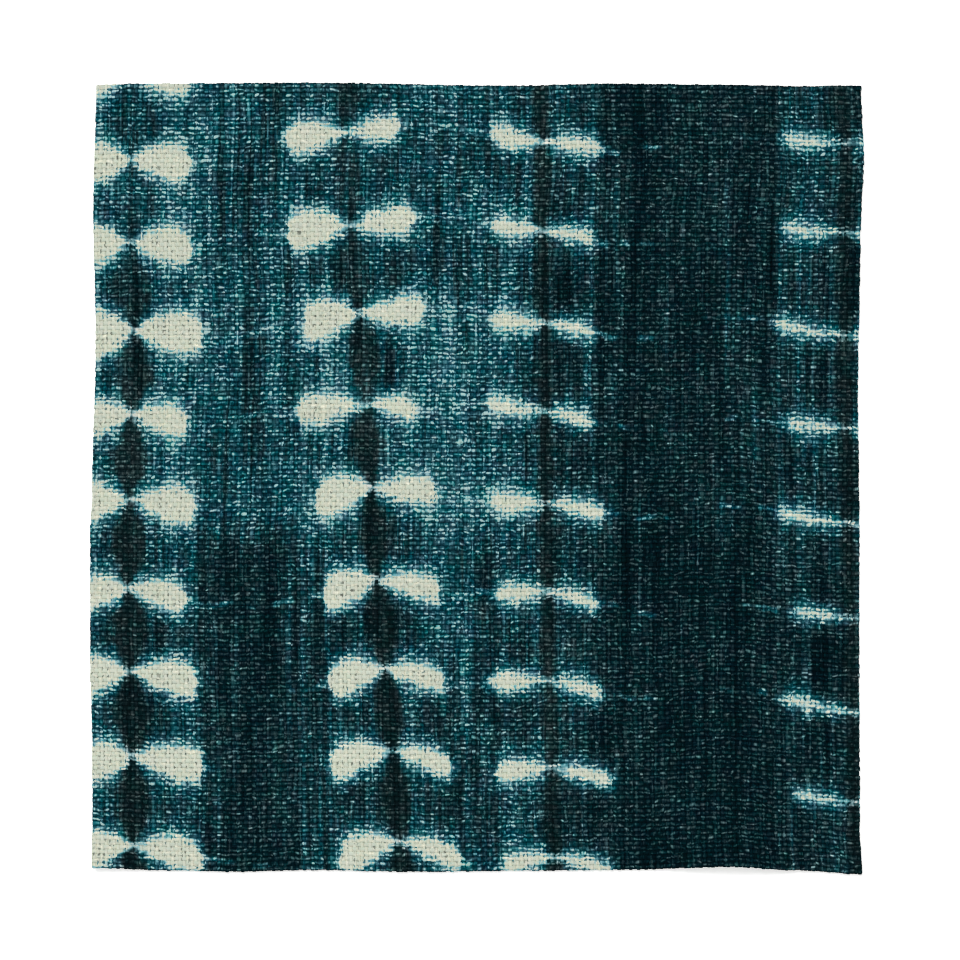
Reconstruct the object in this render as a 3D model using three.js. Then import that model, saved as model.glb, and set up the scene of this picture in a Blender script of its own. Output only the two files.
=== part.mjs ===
// A cut piece of printed plain-weave outdoor cloth, lying face up on a surface.
// Millimetres. The origin is the centre of the underside, +X to the right across the
// weft, +Y up along the warp, +Z out of the printed face.
import * as THREE from 'three';
import { mergeVertices } from 'three/addons/utils/BufferGeometryUtils.js';

// Driving dimensions
const clothWidth = 126.4; // between the straight lines that the side edges follow
const clothLength = 130.2; // between the lines that the top and bottom edges follow
const clothThickness = 1.0;
const cellsAcross = 36;
const cellsAlong = 37;

const halfWidth = clothWidth / 2;
const halfLength = clothLength / 2;

// How far each cut edge stands outside its straight line. at is the distance from the
// middle of the edge, to the right or up, and out is outwards.
const leftEdge = [
	{ at: -65, out: 0.2 },
	{ at: -45, out: 0.25 },
	{ at: -30, out: 0.6 },
	{ at: -10, out: 0.6 },
	{ at: -2, out: 0.25 },
	{ at: 22, out: -0.4 },
	{ at: 44, out: 0.1 },
	{ at: 65, out: -0.4 },
];
const rightEdge = [
	{ at: -65, out: 0.45 },
	{ at: -58, out: 0.05 },
	{ at: -30, out: -0.05 },
	{ at: -5, out: -0.05 },
	{ at: 15, out: -0.25 },
	{ at: 40, out: 0.15 },
	{ at: 53, out: 0.7 },
	{ at: 65, out: 0.25 },
];
const topEdge = [
	{ at: -63, out: -0.5 },
	{ at: -56, out: 0.1 },
	{ at: -27, out: 0.25 },
	{ at: 5, out: -0.25 },
	{ at: 22, out: 0.1 },
	{ at: 40, out: -0.05 },
	{ at: 55, out: -0.4 },
	{ at: 63, out: -0.2 },
];
const bottomEdge = [
	{ at: -63, out: -0.9 },
	{ at: -50, out: -0.4 },
	{ at: -40, out: -0.2 },
	{ at: -27, out: -0.5 },
	{ at: -10, out: -0.2 },
	{ at: 10, out: -0.4 },
	{ at: 25, out: -0.55 },
	{ at: 42, out: -1.2 },
	{ at: 52, out: -0.5 },
	{ at: 63, out: 0.2 },
];

// Where the cloth lifts off the surface: a soft swell at each place, highest at x, y
// and gone at wide to each side and deep up or down. All the rest lies flat.
const swells = [
	{ x: 42, y: -66, wide: 15, deep: 24, height: 1.5 },
	{ x: 55, y: 66, wide: 9, deep: 13, height: 0.6 },
	{ x: -64, y: 22, wide: 9, deep: 15, height: 0.5 },
	{ x: -64, y: -66, wide: 12, deep: 12, height: 0.7 },
];

// The offset of an edge at one place, eased from row to row.
function edgeOffset( edge, at ) {

	const last = edge.findIndex( ( row ) => row.at >= at );
	if ( last === 0 ) return edge[ 0 ].out;
	if ( last < 0 ) return edge[ edge.length - 1 ].out;
	const from = edge[ last - 1 ];
	const to = edge[ last ];
	const share = THREE.MathUtils.smoothstep( at, from.at, to.at );
	return THREE.MathUtils.lerp( from.out, to.out, share );

}

// The height of one swell along one direction: 1 at its middle, 0 past its reach.
function swellShape( distance, reach ) {

	if ( Math.abs( distance ) >= reach ) return 0;
	return ( 1 + Math.cos( Math.PI * distance / reach ) ) / 2;

}

function liftAt( x, y ) {

	let lift = 0;
	for ( const swell of swells ) {

		const across = swellShape( x - swell.x, swell.wide );
		const along = swellShape( y - swell.y, swell.deep );
		lift += swell.height * across * along;

	}

	return lift;

}

// Takes a point of the flat rectangle to its place in the lying cloth. An edge's offset
// is full at the edge and gone at the opposite one.
function layPoint( x, y, z ) {

	const across = ( x + halfWidth ) / clothWidth;
	const along = ( y + halfLength ) / clothLength;
	const leftward = edgeOffset( leftEdge, y ) * ( 1 - across );
	const rightward = edgeOffset( rightEdge, y ) * across;
	const upward = edgeOffset( topEdge, x ) * along;
	const downward = edgeOffset( bottomEdge, x ) * ( 1 - along );
	return new THREE.Vector3( x + rightward - leftward, y + upward - downward, z + liftAt( x, y ) );

}

// The sheet is a thin box, cut into cells on both faces and laid point by point.
function makeClothSheet() {

	const box = new THREE.BoxGeometry(
		clothWidth, clothLength, clothThickness, cellsAcross, cellsAlong, 1 );
	box.deleteAttribute( 'normal' );
	box.deleteAttribute( 'uv' );
	const sheet = mergeVertices( box );
	const places = sheet.attributes.position;
	for ( let i = 0; i < places.count; i ++ ) {

		const height = places.getZ( i ) + clothThickness / 2;
		const laid = layPoint( places.getX( i ), places.getY( i ), height );
		places.setXYZ( i, laid.x, laid.y, laid.z );

	}

	// The uneven edges shift the middle of the outline, so the sheet is centred again.
	sheet.computeBoundingBox();
	const middle = sheet.boundingBox.getCenter( new THREE.Vector3() );
	sheet.translate( - middle.x, - middle.y, 0 );
	sheet.computeVertexNormals();
	return sheet;

}

const printedCloth = new THREE.MeshStandardMaterial( {
	color: 0x17465a,
	roughness: 0.9,
	metalness: 0,
} );

const part = new THREE.Group();
const cloth = new THREE.Mesh( makeClothSheet(), printedCloth );
cloth.name = 'cloth';
part.add( cloth );

export default part;
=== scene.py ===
import math

import bpy
import numpy as np
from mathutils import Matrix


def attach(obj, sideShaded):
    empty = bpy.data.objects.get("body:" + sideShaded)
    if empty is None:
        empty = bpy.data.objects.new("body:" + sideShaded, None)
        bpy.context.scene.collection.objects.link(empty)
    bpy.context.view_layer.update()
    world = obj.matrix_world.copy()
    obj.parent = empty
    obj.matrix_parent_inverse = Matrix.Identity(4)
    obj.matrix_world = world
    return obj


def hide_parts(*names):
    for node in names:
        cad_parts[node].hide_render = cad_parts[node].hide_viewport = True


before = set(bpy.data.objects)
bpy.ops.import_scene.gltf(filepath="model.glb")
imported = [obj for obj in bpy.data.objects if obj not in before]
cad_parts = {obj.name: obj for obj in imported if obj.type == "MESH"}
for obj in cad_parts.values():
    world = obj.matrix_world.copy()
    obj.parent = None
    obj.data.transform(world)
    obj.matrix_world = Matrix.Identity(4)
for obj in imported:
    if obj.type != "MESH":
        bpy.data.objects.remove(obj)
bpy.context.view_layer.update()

mm = 0.001

# the lie of the cloth, in millimetres: how far each cut edge stands outside its straight
# line (at is the distance right or up from the edge's middle), and where the cloth lifts
lie = {
    "width": 126.4,
    "length": 130.2,
    "leftEdge": {"at": (-65, -45, -30, -10, -2, 22, 44, 65),
                 "out": (0.2, 0.25, 0.6, 0.6, 0.25, -0.4, 0.1, -0.4)},
    "rightEdge": {"at": (-65, -58, -30, -5, 15, 40, 53, 65),
                  "out": (0.45, 0.05, -0.05, -0.05, -0.25, 0.15, 0.7, 0.25)},
    "topEdge": {"at": (-63, -56, -27, 5, 22, 40, 55, 63),
                "out": (-0.1, 0.1, 0.25, -0.25, 0.1, -0.05, -0.4, -0.2)},
    "bottomEdge": {"at": (-63, -50, -40, -27, -10, 10, 25, 42, 52, 63),
                   "out": (-0.9, -0.4, -0.2, -0.5, -0.2, -0.4, -0.55, -1.2, -0.5, 0.2)},
    "swells": [
        {"x": 42, "y": -66, "wide": 15, "deep": 24, "height": 1.5},
        {"x": 55, "y": 66, "wide": 9, "deep": 13, "height": 0.6},
        {"x": -64, "y": 22, "wide": 9, "deep": 15, "height": 0.5},
        {"x": -64, "y": -66, "wide": 12, "deep": 12, "height": 0.7},
    ],
}


def edgeOffset(edge, at):
    stops = np.array(edge["at"], float)
    outs = np.array(edge["out"], float)
    after = np.clip(np.searchsorted(stops, at), 1, len(stops) - 1)
    share = np.clip((at - stops[after - 1]) / (stops[after] - stops[after - 1]), 0, 1)
    share = share * share * (3 - 2 * share)
    return outs[after - 1] + (outs[after] - outs[after - 1]) * share


def swellShape(distance, reach):
    return np.where(abs(distance) < reach, (1 + np.cos(np.pi * distance / reach)) / 2, 0)


def layFlatPoints(points):
    # flat points in metres, with the origin at the middle of the cut, to the lying cloth
    x, y, z = points.T / mm
    across = x / lie["width"] + 0.5
    along = y / lie["length"] + 0.5
    right, left = edgeOffset(lie["rightEdge"], y), edgeOffset(lie["leftEdge"], y)
    top, bottom = edgeOffset(lie["topEdge"], x), edgeOffset(lie["bottomEdge"], x)
    laidX = x + right * across - left * (1 - across)
    laidY = y + top * along - bottom * (1 - along)
    for swell in lie["swells"]:
        z = z + swell["height"] * (swellShape(x - swell["x"], swell["wide"])
                                   * swellShape(y - swell["y"], swell["deep"]))
    return np.column_stack((laidX, laidY, z)) * mm


def findMiddle():
    # the uneven edges shift the middle of the outline, and the frame's origin is that middle
    stops = 400
    side = np.linspace(-0.5, 0.5, stops)
    half = np.full(stops, 0.5)
    x = np.concatenate((side, side, -half, half)) * lie["width"]
    y = np.concatenate((-half, half, side, side)) * lie["length"]
    laid = layFlatPoints(np.column_stack((x, y, 0 * x)) * mm)[:, :2]
    return (laid.min(0) + laid.max(0)) / 2


clothMiddle = findMiddle()


def layMesh(mesh):
    points = np.empty(len(mesh.vertices) * 3, np.float32)
    mesh.vertices.foreach_get("co", points)
    laid = layFlatPoints(points.reshape(-1, 3).astype(float))
    laid[:, :2] -= clothMiddle
    mesh.vertices.foreach_set("co", laid.astype(np.float32).ravel())
    mesh.update()


# node trees are written as sums: a Wire is one socket, and its sums and products are nodes
class Wire:
    def __init__(self, tree, socket):
        self.tree = tree
        self.socket = socket

    def __add__(self, other):
        return calc(self.tree, "ADD", self, other)

    def __radd__(self, other):
        return calc(self.tree, "ADD", other, self)

    def __sub__(self, other):
        return calc(self.tree, "SUBTRACT", self, other)

    def __rsub__(self, other):
        return calc(self.tree, "SUBTRACT", other, self)

    def __mul__(self, other):
        return calc(self.tree, "MULTIPLY", self, other)

    def __rmul__(self, other):
        return calc(self.tree, "MULTIPLY", other, self)

    def __truediv__(self, other):
        return calc(self.tree, "DIVIDE", self, other)

    def __pow__(self, other):
        return calc(self.tree, "POWER", self, other)

    def __abs__(self):
        return calc(self.tree, "ABSOLUTE", self)


def plug(tree, value, socket):
    if isinstance(value, Wire):
        tree.links.new(value.socket, socket)
    else:
        socket.default_value = value


def addNode(tree, kind, settings=None, inputs=None):
    node = tree.nodes.new(kind)
    for name, value in (settings or {}).items():
        setattr(node, name, value)
    for name, value in (inputs or {}).items():
        plug(tree, value, node.inputs[name])
    return node


def out(node, name=0):
    return Wire(node.id_data, node.outputs[name])


def calc(tree, operation, *values):
    node = addNode(tree, "ShaderNodeMath", {"operation": operation})
    for value, socket in zip(values, node.inputs):
        plug(tree, value, socket)
    return out(node)


def ease(value, low, high, fromValue=0.0, toValue=1.0):
    # a smooth step between two values
    node = addNode(value.tree, "ShaderNodeMapRange", {"interpolation_type": "SMOOTHSTEP"})
    for name, given in (("Value", value), ("From Min", low), ("From Max", high),
                        ("To Min", fromValue), ("To Max", toValue)):
        plug(value.tree, given, node.inputs[name])
    return out(node)


def joinXyz(tree, x, y, z=0.0):
    return out(addNode(tree, "ShaderNodeCombineXYZ", inputs={"X": x, "Y": y, "Z": z}))


def noiseAt(place, detail=1.0, roughness=0.5):
    # from 0 to 1, mostly near 0.5
    return out(addNode(place.tree, "ShaderNodeTexNoise", inputs={
        "Vector": place, "Scale": 1.0, "Detail": detail, "Roughness": roughness}))


def lit(share, tone):
    # tone is the least, and how much a full share adds to it
    least, more = tone
    return least + share * more


def weighted(start, weights, parts):
    # start, and each named part times its weight
    return sum((parts[name] * weight for name, weight in weights.items()), start)


apart = 5.3  # times a row's number, so that neighbours share no noise


def makeTree(name, kind, inputs, outputs):
    # inputs and outputs are (name, socket kind, value) and (name, socket kind) rows
    tree = bpy.data.node_groups.new(name, kind)
    for label, socketKind, value in inputs:
        made = tree.interface.new_socket(label, in_out="INPUT", socket_type=socketKind)
        if value is not None:
            made.default_value = value
    for label, socketKind in outputs:
        tree.interface.new_socket(label, in_out="OUTPUT", socket_type=socketKind)
    given = tree.nodes.new("NodeGroupInput")
    result = tree.nodes.new("NodeGroupOutput")
    wires = {label: Wire(tree, given.outputs[label]) for label, _, _ in inputs}
    return tree, wires, result


# the weave's yarns, in millimetres
weave = {
    "warpCount": 198,
    "weftCount": 169,
    "warpWidth": 0.62,  # the yarns about fill their pitches, which are 0.64 and 0.77
    "weftWidth": 0.78,
    "yarnHeight": 0.24,
    "crimp": 0.105,
    "middleHeight": 0.36,  # of the weave's middle over the surface
    "slub": 0.15,
    "slubParts": {"thick": 3, "own": 1, "jump": 1.4},  # along a yarn, by yarn, by crossing
    "thinnest": 0.82,  # share of its width that a yarn never goes under
    "pressed": (0.75, 0.5),  # how much of the crimp a crossing shows
    "wander": 0.07,
    "ragged": 0.15,
    "endReach": 0.42,  # pitches that a yarn runs on past its last crossing
    "endSink": 0.75,  # how far its cut end falls back to the weave's middle
    "sides": 6,
    "sidesHeight": 0.866,  # height of a ring of six sides, as a share of its width
    "stripsAcross": 3,  # pieces that the warp and the weft are each made in
    "seed": 11,
}
# how quickly each of these changes along a yarn, about so many times a metre
yarnNoise = {
    "wander": 160,
    "press": 420,
    "thick": 110,
}


def makeYarnTree():
    tree, given, result = makeTree("wovenYarns", "GeometryNodeTree", [
        ("Yarn Count", "NodeSocketInt", 66),
        ("First Yarn", "NodeSocketInt", 0),
        ("Set Size", "NodeSocketInt", 198),
        ("Crossings", "NodeSocketInt", 169),
        ("Yarn Pitch", "NodeSocketFloat", 0.00064),
        ("Cross Pitch", "NodeSocketFloat", 0.00077),
        ("Yarn Width", "NodeSocketFloat", 0.00062),
        ("Yarn Height", "NodeSocketFloat", 0.00024),
        ("Crimp", "NodeSocketFloat", 0.000105),
        ("Under First", "NodeSocketInt", 0),
        ("Along Length", "NodeSocketBool", False),
        ("Slub", "NodeSocketFloat", 0.15),
        ("Wander", "NodeSocketFloat", 0.00007),
        ("Ragged", "NodeSocketFloat", 0.00015),
        ("Seed", "NodeSocketFloat", 0.0),
        ("Material", "NodeSocketMaterial", None),
    ], [("Geometry", "NodeSocketGeometry")])

    # straight yarns first, one point for each crossing and one for each cut end
    pointCount = given["Crossings"] + 2
    line = addNode(tree, "GeometryNodeCurvePrimitiveLine")
    points = addNode(tree, "GeometryNodeResampleCurve", inputs={
        "Curve": out(line), "Count": pointCount})
    places = addNode(tree, "GeometryNodePoints", inputs={"Count": given["Yarn Count"]})
    copies = addNode(tree, "GeometryNodeInstanceOnPoints", inputs={
        "Points": out(places), "Instance": out(points)})
    realized = addNode(tree, "GeometryNodeRealizeInstances", inputs={"Geometry": out(copies)})

    # where each point lies: how far along its yarn, and on which side of the crossing yarn.
    # The odd factors of yarn and the sums with the seed only keep the noises apart
    here = addNode(tree, "GeometryNodeCurveOfPoint")
    yarn = out(here, "Curve Index") + given["First Yarn"]
    step = out(here, "Index in Curve")
    crossing = step - 1
    lastStep = given["Crossings"] + 1
    atStart = calc(tree, "LESS_THAN", step, 0.5)
    atEnd = calc(tree, "GREATER_THAN", step, lastStep - 0.5)
    chance = addNode(tree, "ShaderNodeTexWhiteNoise", {"noise_dimensions": "3D"}, {
        "Vector": joinXyz(tree, yarn, atEnd, given["Seed"])})
    cutBack = given["Cross Pitch"] * weave["endReach"]
    cutBack = cutBack + given["Ragged"] * (out(chance, "Value") - 0.5)
    along = (crossing - (given["Crossings"] - 1) / 2) * given["Cross Pitch"]
    along = along + (atStart - atEnd) * cutBack
    beside = (yarn - (given["Set Size"] - 1) / 2) * given["Yarn Pitch"]

    drift = noiseAt(joinXyz(tree, along * yarnNoise["wander"], yarn * 7.3, given["Seed"]),
                    detail=2.0) - 0.5
    beside = beside + drift * 2 * given["Wander"]
    parity = calc(tree, "MODULO", yarn + crossing + given["Under First"] + 2, 2)
    press = noiseAt(joinXyz(tree, along * yarnNoise["press"], yarn * 3.1, given["Seed"] + 5))
    rise = (1 - parity * 2) * (1 - (atStart + atEnd) * weave["endSink"])
    height = rise * given["Crimp"] * lit(press, weave["pressed"])
    flat = joinXyz(tree, along, beside, height)
    turned = joinXyz(tree, beside, along, height)
    position = addNode(tree, "GeometryNodeSwitch", {"input_type": "VECTOR"}, {
        "Switch": given["Along Length"], "False": flat, "True": turned})
    moved = addNode(tree, "GeometryNodeSetPosition", inputs={
        "Geometry": out(realized), "Position": out(position)})

    # thick and thin places, then a flattened section swept along each yarn
    thick = noiseAt(joinXyz(tree, along * yarnNoise["thick"], yarn * 5.7, given["Seed"] + 9),
                    detail=2.0) - 0.5
    ownSize = addNode(tree, "ShaderNodeTexWhiteNoise", {"noise_dimensions": "1D"}, {
        "W": yarn + given["Seed"]})
    squash = addNode(tree, "ShaderNodeTexWhiteNoise", {"noise_dimensions": "2D"}, {
        "Vector": joinXyz(tree, yarn + given["Seed"], step)})
    slubParts = weave["slubParts"]
    chances = (out(ownSize, "Value") - 0.5) * slubParts["own"]
    chances = chances + (out(squash, "Value") - 0.5) * slubParts["jump"]
    fullness = 1 + given["Slub"] * (thick * slubParts["thick"] + chances)
    fullness = calc(tree, "MAXIMUM", fullness, weave["thinnest"])
    sized = addNode(tree, "GeometryNodeSetCurveRadius", inputs={
        "Curve": out(moved), "Radius": fullness})
    upright = addNode(tree, "GeometryNodeSetCurveNormal", {"mode": "Z_UP"}, {"Curve": out(sized)})

    # what the materials read: the yarn's own tone, the crossing's number along the yarn,
    # the yarn's number, how far the yarn is up, and the place on the flat cloth
    toned = out(upright)
    for label, value in (("yarnTone", out(ownSize, "Value")), ("crossingNumber", crossing),
                         ("yarnNumber", yarn), ("rise", rise)):
        toned = out(addNode(tree, "GeometryNodeStoreNamedAttribute",
                            {"data_type": "FLOAT", "domain": "POINT"},
                            {"Geometry": toned, "Name": label, "Value": value}))
    ring = addNode(tree, "GeometryNodeCurvePrimitiveCircle", inputs={
        "Resolution": weave["sides"], "Radius": 0.5})
    squeeze = joinXyz(tree, given["Yarn Width"], given["Yarn Height"] / weave["sidesHeight"], 1.0)
    section = addNode(tree, "GeometryNodeTransform", inputs={
        "Geometry": out(ring), "Scale": squeeze})
    swept = addNode(tree, "GeometryNodeCurveToMesh", inputs={
        "Curve": toned, "Profile Curve": out(section), "Fill Caps": True})
    place = out(addNode(tree, "GeometryNodeInputPosition"))
    placed = addNode(tree, "GeometryNodeStoreNamedAttribute",
                     {"data_type": "FLOAT_VECTOR", "domain": "POINT"},
                     {"Geometry": out(swept), "Name": "flatPlace", "Value": place})
    smooth = addNode(tree, "GeometryNodeSetShadeSmooth", inputs={
        "Geometry": out(placed), "Shade Smooth": True})
    finished = addNode(tree, "GeometryNodeRealizeInstances", inputs={"Geometry": out(smooth)})
    painted = addNode(tree, "GeometryNodeSetMaterial", inputs={
        "Geometry": out(finished), "Material": given["Material"]})
    plug(tree, out(painted), result.inputs["Geometry"])
    return tree


def bakedFromTree(name, tree, values):
    # a mesh object made by a node tree, as a plain mesh with no modifier left
    holder = bpy.data.objects.new(name + "Maker", bpy.data.meshes.new(name + "Maker"))
    bpy.context.scene.collection.objects.link(holder)
    modifier = holder.modifiers.new("nodes", "NODES")
    modifier.node_group = tree
    for item in tree.interface.items_tree:
        if item.in_out == "INPUT" and item.name in values:
            modifier[item.identifier] = values[item.name]
    bpy.context.view_layer.update()
    seen = holder.evaluated_get(bpy.context.evaluated_depsgraph_get())
    mesh = bpy.data.meshes.new_from_object(seen)
    mesh.name = name
    bpy.data.objects.remove(holder)
    piece = bpy.data.objects.new(name, mesh)
    bpy.context.scene.collection.objects.link(piece)
    return piece


def mapPlanar(mesh):
    # one map for the piece: its upper faces fill the left half, its lower faces the right
    margin = 0.004
    count = len(mesh.loops)
    points = np.empty(len(mesh.vertices) * 3, np.float32)
    mesh.vertices.foreach_get("co", points)
    corner = np.empty(count, np.int32)
    mesh.loops.foreach_get("vertex_index", corner)
    normals = np.empty(len(mesh.polygons) * 3, np.float32)
    mesh.polygons.foreach_get("normal", normals)
    sizes = np.empty(len(mesh.polygons), np.int32)
    mesh.polygons.foreach_get("loop_total", sizes)
    xy = points.reshape(-1, 3)[corner, :2]
    low, high = xy.min(0), xy.max(0)
    share = margin + (1 - 2 * margin) * (xy - low) / (high - low)
    below = np.repeat(normals.reshape(-1, 3)[:, 2] < 0, sizes)
    layer = mesh.uv_layers.new(name="OFBake")
    share[:, 0] = share[:, 0] / 2 + np.where(below, 0.5, 0)
    layer.data.foreach_set("uv", share.astype(np.float32).ravel())


# the print, in millimetres from the cloth's middle. Each column is a line of resist marks
# with a pinch in their middle: where the line is and how its marks step, how far the lobe
# on each side reaches, how tall it is, how it leans, and how that turns going up, then how
# the marks grow going up, how the lobes open, and how wide the dark stem between marks is
print("building the print")
markColumns = [
    {"middle": -57.0, "drift": -0.006, "rowStart": -4.0, "rowPitch": 14.25,
     "leftReach": 9.0, "leftHeight": 3.3, "leftSlant": -0.12, "leftTurn": 0.0015,
     "rightReach": 10.3, "rightHeight": 3.0, "rightSlant": -0.13, "rightTurn": 0.0015,
     "grow": 0.0018, "narrow": 0.0, "tail": 0.3,
     "stemWidth": 1.2, "stemSwell": 3.7, "stemFade": 0.95},
    {"middle": -17.4, "drift": -0.080, "rowStart": -1.9, "rowPitch": 14.58,
     "leftReach": 10.2, "leftHeight": 2.9, "leftSlant": -0.22, "leftTurn": 0.0015,
     "rightReach": 9.6, "rightHeight": 2.1, "rightSlant": -0.09, "rightTurn": 0.0045,
     "grow": 0.0, "narrow": 0.0, "tail": 0.3,
     "stemWidth": 1.2, "stemSwell": 2.7, "stemFade": 0.6},
    {"middle": 11.5, "drift": -0.0195, "rowStart": -3.7, "rowPitch": 14.96,
     "leftReach": 8.7, "leftHeight": 1.55, "leftSlant": 0.04, "leftTurn": 0.0030,
     "rightReach": 8.8, "rightHeight": 1.2, "rightSlant": -0.22, "rightTurn": 0.0012,
     "grow": 0.0, "narrow": -0.06, "tail": 0.25,
     "stemWidth": 1.4, "stemSwell": 0.3, "stemFade": 0.1},
    {"middle": 61.4, "drift": -0.022, "rowStart": -6.9, "rowPitch": 15.66,
     "leftReach": 10.2, "leftHeight": 0.7, "leftSlant": 0.11, "leftTurn": 0.0,
     "rightReach": 5.0, "rightHeight": 0.5, "rightSlant": -0.1, "rightTurn": 0.0,
     "grow": 0.0, "narrow": 0.28, "tail": 0.3,
     "stemWidth": 1.2, "stemSwell": 0.6, "stemFade": 0.2},
]


# how every mark is drawn, in millimetres, and by what share it varies by chance
markShape = {
    "rowSpread": 1.4,
    "reachSpread": 0.24,
    "heightSpread": 0.28,
    "leanSpread": 0.12,
    "lobe": ((0.12, 0.27), (0.27, 0.55), (0.48, 0.84), (0.7, 1.0), (0.87, 0.92), (0.95, 0.68)),
    "lobeEnd": 0.16,
    "lobePower": (0.75, 0.6),
    "bow": (0.45, 0.55),  # a lobe leans more and more towards its end
    "closing": 1.3,  # how fast a mark narrows past its reach
    "wideGlow": (-4.2, 0.3),  # the halo's two parts, from outside the mark to inside it
    "wideGlowPower": 1.5,
    "wideGlowLight": 0.5,
    "narrowGlow": (-1.7, 0.4),
    "narrowGlowLight": 0.6,
    "pinchGlow": (0.2, 3.4, 0.10, 1.0),  # it is weak near the pinch
    "threadWave": 4.0,
    "threadWaveRun": 0.12,
    "threadFadeRun": 0.3,
    "threadFade": (0.42, 0.6),
    "threadChance": (0.4, 0.7),
    "threadLean": 0.5,  # how much of the lobe's lean it keeps
    "threadWidth": (0.7, 0.15),
    "threadReach": (16.0, 4.0),
    "stemRows": (0.04, 0.42),  # the stem swells from mark to half way between marks
    "stemFadeFrom": (5.0, 50.0),
    "stemEdge": (-1.2, 0.6),
}


def makeColumnGroup():
    names = list(markColumns[0]) + ["seed"]
    tree, given, result = makeTree(
        "bowTieColumn", "ShaderNodeTree",
        [("across", "NodeSocketFloat", 0.0), ("up", "NodeSocketFloat", 0.0),
         ("ragged", "NodeSocketFloat", 0.5)]
        + [(name, "NodeSocketFloat", 0.0) for name in names],
        [("open", "NodeSocketFloat"), ("halo", "NodeSocketFloat"), ("stem", "NodeSocketFloat"),
         ("thread", "NodeSocketFloat")])
    across = given["across"] - given["middle"] - given["drift"] * given["up"]
    rows = (given["up"] - given["rowStart"]) / given["rowPitch"]
    row = calc(tree, "ROUND", rows)
    chance = addNode(tree, "ShaderNodeTexWhiteNoise", {"noise_dimensions": "2D"}, {
        "Vector": joinXyz(tree, row, given["seed"])})
    dice = addNode(tree, "ShaderNodeSeparateColor", inputs={"Color": out(chance, "Color")})
    off = (rows - row) * given["rowPitch"] + (out(dice, 0) - 0.5) * markShape["rowSpread"]

    onRight = calc(tree, "GREATER_THAN", across, 0.0)
    distance = abs(across)

    def bySide(measure):
        left = given["left" + measure]
        return left + (given["right" + measure] - left) * onRight

    def varied(value, share, spread):
        return value * (1 - spread / 2 + share * spread)

    sideChance = out(dice, 1) + onRight * (out(dice, 2) - out(dice, 1))
    reach = varied(bySide("Reach"), sideChance, markShape["reachSpread"])
    tall = varied(bySide("Height"), out(dice, 2), markShape["heightSpread"])
    tall = tall * (1 + given["grow"] * given["up"])
    slant = bySide("Slant") + bySide("Turn") * given["up"]
    slant = slant + (sideChance - 0.5) * markShape["leanSpread"]
    part = distance / reach
    widening = (part - given["narrow"]) / (1 - given["narrow"])
    curve = addNode(tree, "ShaderNodeFloatCurve", inputs={"Value": widening})
    profile = curve.mapping.curves[0]
    profile.points[0].location = (0.0, 0.0)
    profile.points[-1].location = (1.0, markShape["lobeEnd"])
    for at, value in markShape["lobe"]:
        profile.points.new(at, value)
    curve.mapping.update()
    fullness = out(curve) ** lit(out(dice, 1), markShape["lobePower"])
    half = given["tail"] + (tall - given["tail"]) * fullness
    within = calc(tree, "MINIMUM", part, 1.0)
    line = slant * within * reach * lit(within, markShape["bow"])
    past = calc(tree, "MAXIMUM", distance - reach, 0.0)
    opened = half - abs(off - line) - past * markShape["closing"]
    plug(tree, opened, result.inputs["open"])
    loose = opened + (given["ragged"] - 0.5)
    glow = ease(loose, *markShape["wideGlow"]) ** markShape["wideGlowPower"]
    glow = glow * markShape["wideGlowLight"]
    glow = glow + ease(loose, *markShape["narrowGlow"]) * markShape["narrowGlowLight"]
    plug(tree, glow * ease(distance, *markShape["pinchGlow"]), result.inputs["halo"])

    # a thin light line that runs on past the ends of some marks
    wave = noiseAt(joinXyz(tree, given["across"] * markShape["threadWaveRun"], row)) - 0.5
    fade = noiseAt(joinXyz(tree, given["across"] * markShape["threadFadeRun"], row, 5.0))
    threadOff = off - line - slant * past * markShape["threadLean"]
    threadOff = threadOff - wave * markShape["threadWave"]
    thread = ease(abs(threadOff), *markShape["threadWidth"])
    thread = thread * ease(past, *markShape["threadReach"])
    thread = thread * ease(fade, *markShape["threadFade"])
    thread = thread * ease(out(dice, 0), *markShape["threadChance"])
    plug(tree, thread, result.inputs["thread"])

    swelling = ease(abs(rows - row), *markShape["stemRows"])
    width = given["stemWidth"] / 2 + given["stemSwell"] / 2 * swelling
    fading = 1 - given["stemFade"] * ease(given["up"], *markShape["stemFadeFrom"])
    plug(tree, ease(width - distance, *markShape["stemEdge"]) * fading, result.inputs["stem"])
    return tree


# the dyed ground: how light it is at each place across (millimetres), and how much darker
# it is there in the lower half and at the top
ground = {
    "spread": 128,  # millimetres that the curves run over
    "at": (-64, -57, -48, -42, -34, -26, -17,
           -9, -4, 2, 8, 12, 20, 26,
           33, 42, 47, 52, 58, 61, 64),
    "light": (0.33, 0.24, 0.325, 0.26, 0.26, 0.33, 0.25,
              0.32, 0.345, 0.305, 0.26, 0.21, 0.17, 0.13,
              0.13, 0.145, 0.14, 0.185, 0.18, 0.18, 0.20),
    "lower": (0.04, 0.03, 0.13, 0.11, 0.125, 0.125, 0.06,
              0.10, 0.12, 0.10, 0.035, 0.02, 0.02, 0.005,
              0.02, 0.03, 0.03, 0.03, 0.02, 0.01, 0.0),
    "upper": (0.0, 0.0, 0.0, 0.0, 0.01, 0.09, 0.03,
              0.06, 0.08, 0.07, 0.02, 0.0, 0.0, 0.0,
              0.0, 0.0, 0.0, 0.0, 0.0, 0.02, 0.04),
}
# colours of the ink from its darkest to bare cloth, as shown values from 0 to 255
inkRamp = [
    (0.00, (0, 3, 5)),
    (0.10, (0, 22, 28)),
    (0.20, (6, 45, 54)),
    (0.32, (30, 74, 83)),
    (0.46, (57, 106, 115)),
    (0.60, (92, 145, 152)),
    (0.74, (140, 184, 188)),
    (0.84, (190, 201, 187)),
    (0.92, (208, 208, 191)),
    (1.00, (234, 235, 217)),
]


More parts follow.
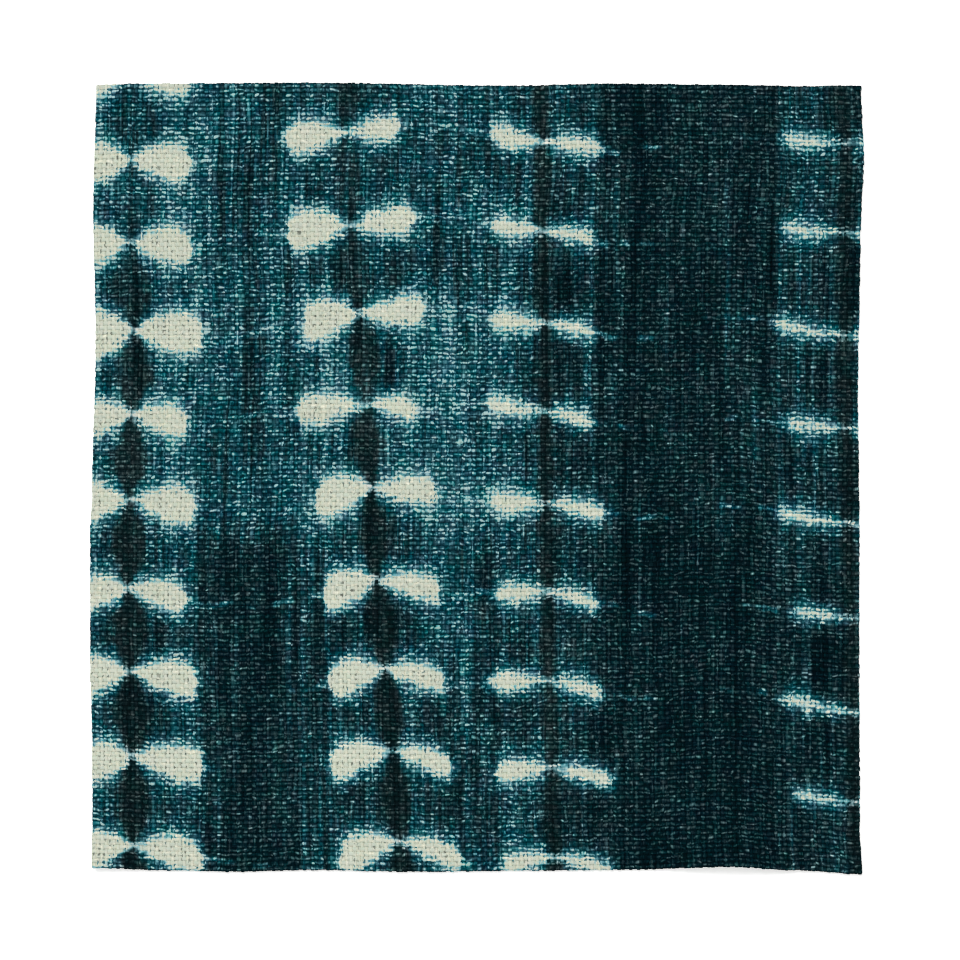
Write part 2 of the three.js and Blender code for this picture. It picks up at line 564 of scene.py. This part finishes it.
def linearOf(shown):
    # shown values from 0 to 255 as linear light
    return [((v / 255 + 0.055) / 1.055) ** 2.4 if v > 10 else v / 255 / 12.92 for v in shown]


def curveAcross(tree, across, values):
    # a curve over the cloth's width, through a value at each of the ground's places
    stops, spread = ground["at"], ground["spread"]
    node = addNode(tree, "ShaderNodeFloatCurve", inputs={"Value": across / spread + 0.5})
    shape = node.mapping.curves[0]
    shape.points[0].location = (0.0, values[0])
    shape.points[-1].location = (1.0, values[-1])
    for at, value in zip(stops[1:-1], values[1:-1]):
        shape.points.new(at / spread + 0.5, value)
    node.mapping.update()
    return out(node)


# the print's noises: how quickly each changes across and up in a millimetre, the slice of
# the noise that it takes, its detail and its roughness
printNoise = {
    "bend": (0.1, 0.1, 0.0, 1.0, 0.5),
    "rowJitter": (0.22, 0.55, 2.0, 1.0, 0.5),
    "columnJitter": (0.75, 0.11, 4.0, 1.0, 0.5),
    "wobble": (0.5, 0.8, 3.0, 2.0, 0.5),
    "shift": (0.15, 0.45, 17.0, 2.0, 0.5),
    "longStreak": (0.55, 0.018, 8.0, 2.5, 0.6),
    "fineStreak": (1.1, 0.05, 9.0, 2.0, 0.7),
    "thinLine": (1.9, 0.045, 6.0, 1.0, 0.5),
    "cloud": (0.10, 0.05, 2.0, 2.0, 0.5),
    "lean": (0.32, 0.26, 11.0, 2.0, 0.5),
    "strength": (0.4, 0.3, 14.0, 2.0, 0.5),
}


def printNoiseAt(name, across, up):
    runAcross, runUp, layer, detail, roughness = printNoise[name]
    place = joinXyz(across.tree, across * runAcross, up * runUp, layer)
    return noiseAt(place, detail, roughness)


# the print is the picture of a coarser, uneven plain weave, so it has rows and columns of its own,
# in millimetres.
# Its light yarn middles and dark gaps are partly print and partly painted crest highlights and
# painted gap shade
coarseWeave = {
    "rowPitch": 0.7704,
    "columnPitch": 0.84,
    "bend": 0.8,  # how far the columns wander together
    "rowJitter": 1.0,
    "columnJitter": 1.5,
    "tilt": 0.9,  # how far each dash is turned, and how far it stands off its row
    "cellShift": 0.45,
    "dashReach": 1.3,  # dashes along a row change over about 1 / dashReach
    "streakReach": 0.26,
}
# how light its rows and columns are: the noise that makes them dark to light and how far chance
# adds to it, their light, their painted side shade from gap to middle, and where and how far they
# are painted darker as they sink under, painted shade. Then how uneven both are, and the holes
# between them, painted shade
coarseTone = {
    "weftNoise": (0.36, 0.68),
    "weftChance": 0.16,
    "weftLight": (0.2, 0.8),
    "weftBody": (0.8, 0.05),
    "weftDips": (0.4, 1.05),
    "weftDipShade": 0.6,
    "warpNoise": (0.42, 0.74),
    "warpChance": 0.2,
    "warpLight": (0.05, 0.6),
    "warpBody": (0.7, 0.05),
    "warpDips": (0.4, 1.0),
    "warpDipShade": 0.25,
    "uneven": (0.68, 0.95),
    "holeRow": (0.35, 0.8),
    "holeColumn": (0.4, 0.8),
    "holeChance": (0.0, 0.9),
    "holePower": 1.6,
}


def makeCoarseGroup():
    tree, given, result = makeTree(
        "coarseWeave", "ShaderNodeTree",
        [("across", "NodeSocketFloat", 0.0), ("up", "NodeSocketFloat", 0.0)]
        + [(name, "NodeSocketFloat", 0.0) for name in coarseWeave],
        [("grainAndCrestLight", "NodeSocketFloat"), ("holeShade", "NodeSocketFloat"), ("chance", "NodeSocketFloat")])
    across, up = given["across"], given["up"]
    bendAcross = printNoiseAt("bend", across, up) - 0.5
    jitterUp = printNoiseAt("rowJitter", across, up) - 0.5
    jitterAcross = printNoiseAt("columnJitter", across, up) - 0.5
    rows = (up + jitterUp * given["rowJitter"]) / given["rowPitch"] + 0.5
    bent = across + bendAcross * given["bend"] + jitterAcross * given["columnJitter"]
    columns = bent / given["columnPitch"]
    row = calc(tree, "FLOOR", rows)
    column = calc(tree, "FLOOR", columns)

    def diceAt(x, y, z):
        chance = addNode(tree, "ShaderNodeTexWhiteNoise", {"noise_dimensions": "3D"}, {
            "Vector": joinXyz(tree, x, y, z)})
        return addNode(tree, "ShaderNodeSeparateColor", inputs={"Color": out(chance, "Color")})

    dice = diceAt(column, row, 0.0)
    turned = diceAt(column, row, 3.0)
    inCell = columns - column - 0.5
    slide = inCell * (out(turned, 0) - 0.5) * given["tilt"]
    slide = slide + (out(turned, 1) - 0.5) * given["cellShift"]
    inRow = abs(rows + slide - row - 0.5) * 2  # 0 in a yarn's middle, 1 in the gap
    inColumn = abs(inCell) * 2
    plug(tree, out(turned, 2), result.inputs["chance"])

    # along a row the dashes are over one to three crossings, and columns keep long streaks
    dashes = noiseAt(joinXyz(tree, across * given["dashReach"], row * apart), detail=2.5)
    dashes = dashes + (out(dice, 0) - 0.5) * coarseTone["weftChance"]
    streaks = noiseAt(joinXyz(tree, column * apart, up * given["streakReach"]),
                      detail=3.0, roughness=0.65)
    streaks = streaks + (out(dice, 1) - 0.5) * coarseTone["warpChance"]

    def yarnLight(kind, noise, sideways, lengthways):
        # painted shade: each coarse yarn is painted darker towards its sides and where it sinks
        # under the crossing yarn
        sideShaded = ease(sideways, *coarseTone[kind + "Body"])
        dipShaded = ease(lengthways, *coarseTone[kind + "Dips"]) * coarseTone[kind + "DipShade"]
        shown = ease(noise, *coarseTone[kind + "Noise"])
        return sideShaded * (1 - dipShaded) * lit(shown, coarseTone[kind + "Light"])

    weft = yarnLight("weft", dashes, inRow, inColumn)
    warp = yarnLight("warp", streaks, inColumn, inRow)
    # the lighter of the two, partly print and partly painted crest highlight
    grainAndCrestLight = calc(tree, "MAXIMUM", weft, warp) * lit(out(dice, 2) ** 2, coarseTone["uneven"])
    plug(tree, grainAndCrestLight, result.inputs["grainAndCrestLight"])

    # holes where the coarse rows and columns meet, painted dark as painted shade
    corner = diceAt(calc(tree, "ROUND", columns), calc(tree, "ROUND", rows), 5.0)
    holeShade = ease(inRow, *coarseTone["holeRow"]) * ease(inColumn, *coarseTone["holeColumn"])
    holeShade = holeShade * ease(out(corner, 0), *coarseTone["holeChance"])
    plug(tree, holeShade ** coarseTone["holePower"], result.inputs["holeShade"])
    return tree


# how the print is put together. Lengths are in millimetres, a pair is a range over which
# something fades in, and the dictionaries are the weights of a sum's parts
printTone = {
    "shift": 2.2,  # how far the marks' outlines waver across, and up
    "wobble": 1.1,
    "ragged": 1.4,
    "rowRun": 0.42,
    "rowNoise": (0.30, 0.72),
    "grainMiddle": 0.3,
    # painted light: below this crest, in the gaps, bare cloth is painted paler, and above it
    # darker
    "paintedGapLightMiddle": 0.45,
    # near the marks' edges the holes take ink, as painted shade
    "speckle": {"grainAndCrestLight": 0.7, "rowLight": 0.25, "holeShade": -0.75},
    "edgeWobble": 0.4,
    "bareEdge": (-0.75, 0.82),  # from dyed cloth to bare cloth
    "heightWobble": 4,
    "lowerHalf": (-4.0, -14.0),
    "topPart": (24.0, 38.0),
    "ground": 0.92,
    "streaks": {"longStreak": 1.8, "fineStreak": 1.2, "thinLine": 0.25},
    "thinLineFrom": (0.6, 0.72),
    "clouds": 1.1,
    "stemDark": 0.43,
    "haloLight": 0.32,
    "haloLower": 0.06,
    "haloLowerFrom": (-5.0, -35.0),
    "threadLight": 0.24,
    "deepFrom": (0.26, 0.10),  # lightness at which the ground counts as deep
    "deepShows": (0.06, 0.25),
    "base": 0.69,
    "deepBase": 0.06,
    "grainLight": 2.24,
    "stemGrain": 0.45,
    "rowLight": 0.15,
    # painted shade: the ink is painted darker in the holes
    "holeInkPaintedShade": 0.1,
    # painted highlight on the yarns' raised tops and painted shade on their sides
    "crestPaintedLight": (0.76, 0.44),
    "brightest": 0.78,
    "bareTone": 0.893,
    # bare cloth is paler where the grain is light, and painted paler in the gaps between yarns
    # against their shade
    "bareParts": {"grainAndCrestLight": 0.08, "paintedGapLight": 0.035},
    # painted shade: bare cloth is painted dark in its holes
    "holePaintedShade": 0.66,
    "hue": 0.502,
    "hueParts": {"lean": 0.08, "cell": -0.018, "deep": -0.026, "stem": -0.02},
    "colour": 1.08,
    "colourParts": {"strength": 0.4, "cell": 0.22, "deep": -0.40, "stem": -0.2},
}


def makePrintGroup():
    tree, given, result = makeTree(
        "resistPrint", "ShaderNodeTree",
        [("Place", "NodeSocketVector", None), ("Painted Crest Light", "NodeSocketFloat", 0.5),
         ("Weft Row", "NodeSocketFloat", 0.0), ("Warp Row", "NodeSocketFloat", 0.0)],
        [("Color", "NodeSocketColor")])
    place = addNode(tree, "ShaderNodeSeparateXYZ", inputs={"Vector": given["Place"]})
    across, up = out(place, "X"), out(place, "Y")
    coarse = addNode(tree, "ShaderNodeGroup", {"node_tree": makeCoarseGroup()},
                     {"across": across, "up": up, **coarseWeave})
    grainAndCrestLight, holeShade, cell = out(coarse, "grainAndCrestLight"), out(coarse, "holeShade"), out(coarse, "chance")

    # the marks of the four columns, their dark stems and the thin lines past their ends
    columnGroup = makeColumnGroup()
    wobble = printNoiseAt("wobble", across, up) - 0.5
    shift = printNoiseAt("shift", across, up) - 0.5
    most = {}
    for number, column in enumerate(markColumns):
        node = addNode(tree, "ShaderNodeGroup", {"node_tree": columnGroup}, {
            "across": across + shift * printTone["shift"],
            "up": up + wobble * printTone["wobble"],
            "ragged": wobble * printTone["ragged"] + 0.5,
            "seed": number * 17.0 + 3.0, **column})
        for name in ("open", "halo", "stem", "thread"):
            found = out(node, name)
            most[name] = calc(tree, "MAXIMUM", most[name], found) if name in most else found
    rowPlace = joinXyz(tree, given["Warp Row"] * printTone["rowRun"], given["Weft Row"] * apart)
    rowLight = ease(noiseAt(rowPlace), *printTone["rowNoise"])
    parts = {"grainAndCrestLight": grainAndCrestLight - printTone["grainMiddle"], "rowLight": rowLight - 0.5,
             "holeShade": holeShade, "cell": cell - 0.5, "stem": most["stem"],
             "paintedGapLight": printTone["paintedGapLightMiddle"] - given["Painted Crest Light"]}
    speckle = weighted(0, printTone["speckle"], parts)
    edge = most["open"] + speckle + wobble * printTone["edgeWobble"]
    bare = ease(edge, *printTone["bareEdge"])

    # the ground under them
    light = curveAcross(tree, across, ground["light"])
    lower = curveAcross(tree, across, ground["lower"])
    upper = curveAcross(tree, across, ground["upper"])
    height = up + wobble * printTone["heightWobble"]
    light = light - lower * ease(height, *printTone["lowerHalf"])
    light = light - upper * ease(height, *printTone["topPart"])
    for name in ("longStreak", "fineStreak"):
        parts[name] = printNoiseAt(name, across, up) - 0.5
    parts["thinLine"] = ease(printNoiseAt("thinLine", across, up), *printTone["thinLineFrom"])
    streaks = weighted(0, printTone["streaks"], parts)
    cloud = printNoiseAt("cloud", across, up) - 0.5
    light = light * (printTone["ground"] + streaks + cloud * printTone["clouds"])
    light = light * (1 - most["stem"] * printTone["stemDark"])
    inLower = ease(up, *printTone["haloLowerFrom"])
    haloLight = printTone["haloLight"] - inLower * printTone["haloLower"]
    light = light + most["halo"] * haloLight + most["thread"] * printTone["threadLight"]
    deep = ease(light, *printTone["deepFrom"])
    contrast = printTone["grainLight"] - most["stem"] * printTone["stemGrain"]
    pattern = printTone["base"] - deep * printTone["deepBase"] + grainAndCrestLight * contrast
    # painted shade: the ink is painted darker in the holes
    pattern = pattern + rowLight * printTone["rowLight"] - holeShade * printTone["holeInkPaintedShade"]
    # painted light: the ink is painted lighter on raised, up-facing yarn tops and darker on their
    # sides and in the gaps
    light = light * pattern * lit(given["Painted Crest Light"], printTone["crestPaintedLight"])
    light = calc(tree, "MINIMUM", light, printTone["brightest"])
    parts["deep"] = deep * ease(light, *printTone["deepShows"])
    # bare cloth: painted paler in the gaps between yarns, painted light against their shade
    bareTone = weighted(printTone["bareTone"], printTone["bareParts"], parts)
    light = light + (bareTone - light) * bare

    ramp = addNode(tree, "ShaderNodeValToRGB", inputs={"Fac": light})
    bar = ramp.color_ramp
    while len(bar.elements) > 1:
        bar.elements.remove(bar.elements[-1])
    for number, (at, shown) in enumerate(inkRamp):
        stop = bar.elements[0] if number == 0 else bar.elements.new(at)
        stop.position = at
        stop.color = (*linearOf(shown), 1.0)

    # patches lean to blue or green, the darkest bands are greyer, and bare cloth is painted dark
    # in the holes as painted shade
    for name in ("lean", "strength"):
        parts[name] = printNoiseAt(name, across, up) - 0.5
    turn = weighted(0, printTone["hueParts"], parts)
    tinted = addNode(tree, "ShaderNodeHueSaturation", inputs={
        "Hue": printTone["hue"] + turn * (1 - bare),
        "Value": 1 - holeShade * bare * printTone["holePaintedShade"],
        "Saturation": weighted(printTone["colour"], printTone["colourParts"], parts)})
    plug(tree, out(ramp), tinted.inputs["Color"])
    plug(tree, out(tinted), result.inputs["Color"])
    return tree


printGroup = makePrintGroup()


# the cloth's surface: where a yarn counts as its crest, by its rise and by its slope, on which
# the print is painted lighter as a painted highlight and off which it is painted darker as painted
# shade, how much of that each set takes, what the underside mixes in, how far yarns differ in
# tone, and the fibres
clothLook = {
    "warpCrest": ((-0.3, 0.9), (-0.3, 0.5)),
    "warpCrestShare": 0.42,
    "weftCrest": ((-0.9, 0.4), (-0.4, 0.6)),
    "weftCrestShare": 1.0,
    "upperSide": (-0.45, 0.1),
    "backFade": 0.72,
    "backShown": (196, 199, 186),
    "yarnTone": 0.12,
    "fibreAlong": 2.2,
    "fibreTwist": 2.6,
    "fibreAcross": 14,
    "fibreHeight": 0.06,
    "fibreStrength": 0.5,
    "roughness": 0.72,
    "roughnessSpread": 0.2,
    "specular": 0.02,
}


def makeClothMaterial(name, alongLength, crestShare):
    material = bpy.data.materials.new(name)
    material.use_nodes = True
    tree = material.node_tree
    surface = tree.nodes["Principled BSDF"]
    coordinates = addNode(tree, "ShaderNodeTexCoord")
    flatPlace = addNode(tree, "ShaderNodeAttribute", {"attribute_name": "flatPlace"})
    toMillimetres = addNode(tree, "ShaderNodeMapping", {"vector_type": "POINT"}, {
        "Vector": out(flatPlace, "Vector"), "Scale": (1 / mm,) * 3})
    normal = addNode(tree, "ShaderNodeSeparateXYZ", inputs={"Vector": out(coordinates, "Normal")})
    upper = ease(out(normal, "Z"), *clothLook["upperSide"])
    tone = addNode(tree, "ShaderNodeAttribute", {"attribute_name": "yarnTone"})
    crossing = addNode(tree, "ShaderNodeAttribute", {"attribute_name": "crossingNumber"})
    yarn = addNode(tree, "ShaderNodeAttribute", {"attribute_name": "yarnNumber"})
    rise = addNode(tree, "ShaderNodeAttribute", {"attribute_name": "rise"})
    byRise, bySlope = clothLook["warpCrest" if alongLength else "weftCrest"]
    # painted light: a yarn's crest is where it is raised and faces up; the print is painted
    # lighter there and darker on its sides
    paintedLightCrest = ease(out(rise, "Fac"), *byRise) * ease(out(normal, "Z"), *bySlope)
    if alongLength:
        weftRow, warpRow = calc(tree, "ROUND", out(crossing, "Fac")), out(yarn, "Fac")
    else:
        weftRow, warpRow = out(yarn, "Fac"), out(crossing, "Fac")
    printed = addNode(tree, "ShaderNodeGroup", {"node_tree": printGroup}, {
        "Place": out(toMillimetres), "Painted Crest Light": paintedLightCrest * crestShare,
        "Weft Row": weftRow, "Warp Row": warpRow})
    back = addNode(tree, "ShaderNodeMix", {"data_type": "RGBA"}, {
        "Factor": clothLook["backFade"]})
    plug(tree, out(printed, "Color"), back.inputs["A"])
    back.inputs["B"].default_value = (*linearOf(clothLook["backShown"]), 1.0)
    both = addNode(tree, "ShaderNodeMix", {"data_type": "RGBA"}, {"Factor": upper})
    plug(tree, out(back, "Result"), both.inputs["A"])
    plug(tree, out(printed, "Color"), both.inputs["B"])
    shade = addNode(tree, "ShaderNodeHueSaturation", inputs={
        "Value": 1 - clothLook["yarnTone"] / 2 + out(tone, "Fac") * clothLook["yarnTone"]})
    plug(tree, out(both, "Result"), shade.inputs["Color"])
    plug(tree, out(shade), surface.inputs["Base Color"])

    # fibres: fine lines along each yarn, laid at a slight twist
    spot = addNode(tree, "ShaderNodeSeparateXYZ", inputs={"Vector": out(toMillimetres)})
    run, side = out(spot, "X"), out(spot, "Y")
    if alongLength:
        run, side = side, run
    fibre = noiseAt(joinXyz(tree, run * clothLook["fibreAlong"] + side * clothLook["fibreTwist"],
                            side * clothLook["fibreAcross"],
                            out(spot, "Z") * clothLook["fibreAcross"]), detail=2.0)
    bump = addNode(tree, "ShaderNodeBump", inputs={
        "Strength": clothLook["fibreStrength"], "Height": fibre,
        "Distance": clothLook["fibreHeight"] * mm})
    plug(tree, out(bump), surface.inputs["Normal"])
    rough = clothLook["roughness"] + (fibre - 0.5) * clothLook["roughnessSpread"]
    plug(tree, rough, surface.inputs["Roughness"])
    surface.inputs["Specular IOR Level"].default_value = clothLook["specular"]
    return material


warpMaterial = makeClothMaterial("printedWarp", True, clothLook["warpCrestShare"])
weftMaterial = makeClothMaterial("printedWeft", False, clothLook["weftCrestShare"])
# the sheet between the yarns takes no crest, so its ink is painted at its darkest: painted shade
# in the gaps, and bare cloth on it painted paler
gapShadeMaterial = makeClothMaterial("printedGapShade", False, 0.0)


def makeYarns(yarnTree):
    warpPitch = lie["width"] / weave["warpCount"]
    weftPitch = lie["length"] / weave["weftCount"]
    pieces = []
    for name, total, crossings, pitch, crossPitch, width, under, alongLength, material in (
            ("warpYarns", weave["warpCount"], weave["weftCount"], warpPitch, weftPitch,
             weave["warpWidth"], 0, True, warpMaterial),
            ("weftYarns", weave["weftCount"], weave["warpCount"], weftPitch, warpPitch,
             weave["weftWidth"], 1, False, weftMaterial)):
        stops = np.linspace(0, total, weave["stripsAcross"] + 1).round().astype(int)
        for strip, (first, last) in enumerate(zip(stops, stops[1:])):
            piece = bakedFromTree(f"{name}_{strip + 1}", yarnTree, {
                "Yarn Count": int(last - first),
                "First Yarn": int(first),
                "Set Size": total,
                "Crossings": crossings,
                "Yarn Pitch": pitch * mm,
                "Cross Pitch": crossPitch * mm,
                "Yarn Width": width * mm,
                "Yarn Height": weave["yarnHeight"] * mm,
                "Crimp": weave["crimp"] * mm,
                "Under First": under,
                "Along Length": alongLength,
                "Slub": weave["slub"],
                "Wander": weave["wander"] * mm,
                "Ragged": weave["ragged"] * mm,
                "Seed": float(weave["seed"] + under * 40),
                "Material": material,
            })
            mesh = piece.data
            raised = np.empty(len(mesh.vertices) * 3, np.float32)
            mesh.vertices.foreach_get("co", raised)
            raised.reshape(-1, 3)[:, 2] += weave["middleHeight"] * mm
            mesh.vertices.foreach_set("co", raised)
            layMesh(mesh)
            mapPlanar(mesh)
            pieces.append(piece)
            print(piece.name, len(mesh.vertices), "points", len(mesh.polygons), "faces")
    return pieces


yarnPieces = makeYarns(makeYarnTree())

# the thin closed middle of the cloth, a sheet put where there is only shade, which shows only as
# the dark of the gaps between yarns: painted shade
gapShadeSheetSize = {
    "inset": 0.25,
    "thickness": 0.06,
    "cellsAcross": 96,
    "cellsAlong": 98,
}


def makeGapShadeSheet():
    across, along = gapShadeSheetSize["cellsAcross"] + 1, gapShadeSheetSize["cellsAlong"] + 1
    halfX = lie["width"] / 2 - gapShadeSheetSize["inset"]
    halfY = lie["length"] / 2 - gapShadeSheetSize["inset"]
    x, y = np.meshgrid(np.linspace(-halfX, halfX, across), np.linspace(-halfY, halfY, along))
    layers = []
    for side in (0.5, -0.5):
        z = np.full(x.size, weave["middleHeight"] + side * gapShadeSheetSize["thickness"])
        layers.append(np.column_stack((x.ravel(), y.ravel(), z)) * mm)
    number = np.arange(across * along).reshape(along, across)
    cells = np.stack((number[:-1, :-1], number[:-1, 1:], number[1:, 1:], number[1:, :-1]), -1)
    upper = cells.reshape(-1, 4)
    lower = upper[:, ::-1] + number.size
    rim = np.concatenate((number[0, :], number[1:, -1], number[-1, -2::-1], number[-2:0:-1, 0]))
    after = np.roll(rim, -1)
    wall = np.column_stack((rim + number.size, after + number.size, after, rim))
    faces = np.concatenate((upper, lower, wall))
    mesh = bpy.data.meshes.new("gapShadeSheet")
    mesh.from_pydata(np.concatenate(layers).tolist(), [], faces.tolist())
    mesh.polygons.foreach_set("use_smooth", np.ones(len(faces), bool))
    flat = mesh.attributes.new("flatPlace", "FLOAT_VECTOR", "POINT")
    flat.data.foreach_set("vector", np.concatenate(layers).astype(np.float32).ravel())
    layMesh(mesh)
    mapPlanar(mesh)
    mesh.materials.append(gapShadeMaterial)
    piece = bpy.data.objects.new("gapShadeSheet", mesh)
    bpy.context.scene.collection.objects.link(piece)
    return piece


gapShadeSheet = makeGapShadeSheet()
print("ground sheet made")

for piece in [gapShadeSheet] + yarnPieces:
    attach(piece, "root")
    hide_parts("cloth")

# the surface, the light and the camera, which looks straight down
studio = {
    "floorSize": 3.0,
    "floorTone": 0.93,
    "floorRoughness": 0.9,
    "floorSpecular": 0.1,
    "floorGlow": 0.2,  # the surface is overexposed, so the faint shadows on it are lost
    "worldStrength": 0.80,
    "lampStrength": 1.35,
    "lampAngle": 30,
    "lampTilt": (38, -22),
    "frameWidth": 960 / 6.05,  # the picture's pixels by those of a millimetre
    "aimX": 0.5,
    "aimY": -0.25,
    "lens": 100,
    "sensor": 36,
    "nearest": 0.01,
    "filterWidth": 1.05,
}


def makeStudio():
    half = studio["floorSize"] / 2
    mesh = bpy.data.meshes.new("floor")
    mesh.from_pydata([(-half, -half, 0), (half, -half, 0), (half, half, 0), (-half, half, 0)],
                     [], [(0, 1, 2, 3)])
    floor = bpy.data.objects.new("floor", mesh)
    bpy.context.scene.collection.objects.link(floor)
    material = bpy.data.materials.new("paleSurface")
    material.use_nodes = True
    surface = material.node_tree.nodes["Principled BSDF"]
    tone = studio["floorTone"]
    surface.inputs["Base Color"].default_value = (tone, tone, tone, 1)
    surface.inputs["Roughness"].default_value = studio["floorRoughness"]
    surface.inputs["Specular IOR Level"].default_value = studio["floorSpecular"]
    surface.inputs["Emission Color"].default_value = (1, 1, 1, 1)
    surface.inputs["Emission Strength"].default_value = studio["floorGlow"]
    mesh.materials.append(material)

    world = bpy.data.worlds.new("softRoom")
    bpy.context.scene.world = world
    world.use_nodes = True
    background = world.node_tree.nodes["Background"]
    background.inputs["Color"].default_value = (1, 1, 1, 1)
    background.inputs["Strength"].default_value = studio["worldStrength"]

    lamp = bpy.data.lights.new("softLamp", "SUN")
    lamp.energy = studio["lampStrength"]
    lamp.angle = math.radians(studio["lampAngle"])
    holder = bpy.data.objects.new("softLamp", lamp)
    tiltX, tiltY = studio["lampTilt"]
    holder.rotation_euler = (math.radians(-tiltX), math.radians(tiltY), 0)
    bpy.context.scene.collection.objects.link(holder)

    camera = bpy.data.cameras.new("overhead")
    camera.lens = studio["lens"]
    camera.sensor_width = studio["sensor"]
    camera.clip_start = studio["nearest"]
    eye = bpy.data.objects.new("overhead", camera)
    distance = studio["frameWidth"] * studio["lens"] / studio["sensor"]
    eye.location = (studio["aimX"] * mm, studio["aimY"] * mm,
                    (distance + weave["middleHeight"]) * mm)
    bpy.context.scene.collection.objects.link(eye)
    bpy.context.scene.camera = eye
    bpy.context.scene.view_settings.view_transform = "Standard"
    bpy.context.scene.cycles.filter_width = studio["filterWidth"]


makeStudio()
print("studio made")
